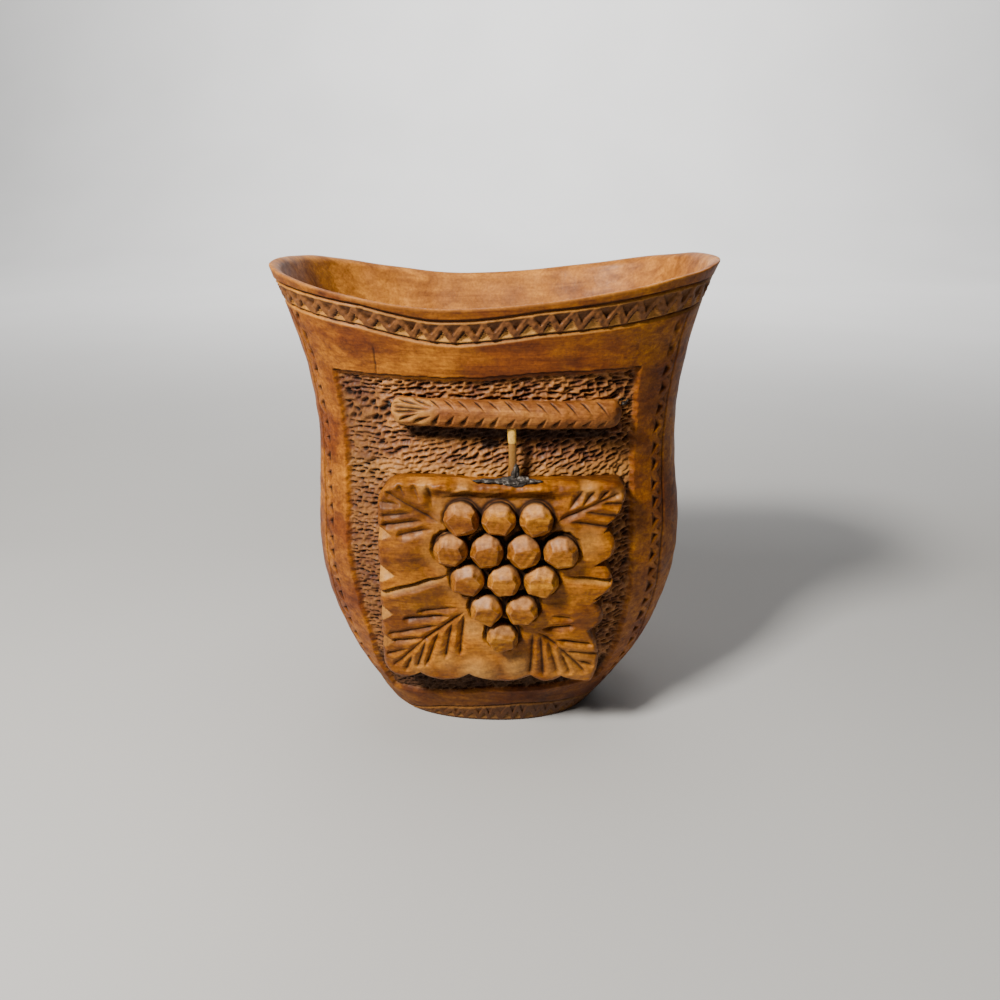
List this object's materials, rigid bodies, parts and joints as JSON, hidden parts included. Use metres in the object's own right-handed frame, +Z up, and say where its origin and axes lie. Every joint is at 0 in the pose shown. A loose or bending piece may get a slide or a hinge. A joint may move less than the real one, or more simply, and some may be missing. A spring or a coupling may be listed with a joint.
{
  "type": "carved wooden cup",
  "caption": "Oblong hand-carved wooden cup with a saddle-shaped rim and a sunk front panel carrying an applied branch, leaf plaque and bunch of grapes.",
  "frame": {"origin": "on the flat underside of the foot, below the body's axis", "axes": "+Z up through the mouth, -Y towards the decorated front, +X to the right as seen from the front"},
  "size_m": [0.1186, 0.0771, 0.1395],
  "materials": {
    "body_wood": "stained reddish brown, satin varnish",
    "branch_wood": "stained brown, satin varnish",
    "splint_wood": "bare pale wood, darker at the foot",
    "plaque_wood": "stained orange brown, satin varnish",
    "grape_wood": "stained dark reddish brown, satin varnish"
  },
  "bodies": {
    "root": {"cup_body": "body_wood", "grape_branch": "branch_wood", "vine_stem": "splint_wood", "leaf_plaque": "plaque_wood", "grape_01": "grape_wood", "grape_02": "grape_wood", "grape_03": "grape_wood", "grape_04": "grape_wood", "grape_05": "grape_wood", "grape_06": "grape_wood", "grape_07": "grape_wood", "grape_08": "grape_wood", "grape_09": "grape_wood", "grape_10": "grape_wood", "grape_11": "grape_wood", "grape_12": "grape_wood", "grape_13": "grape_wood"}
  },
  "joints": []
}
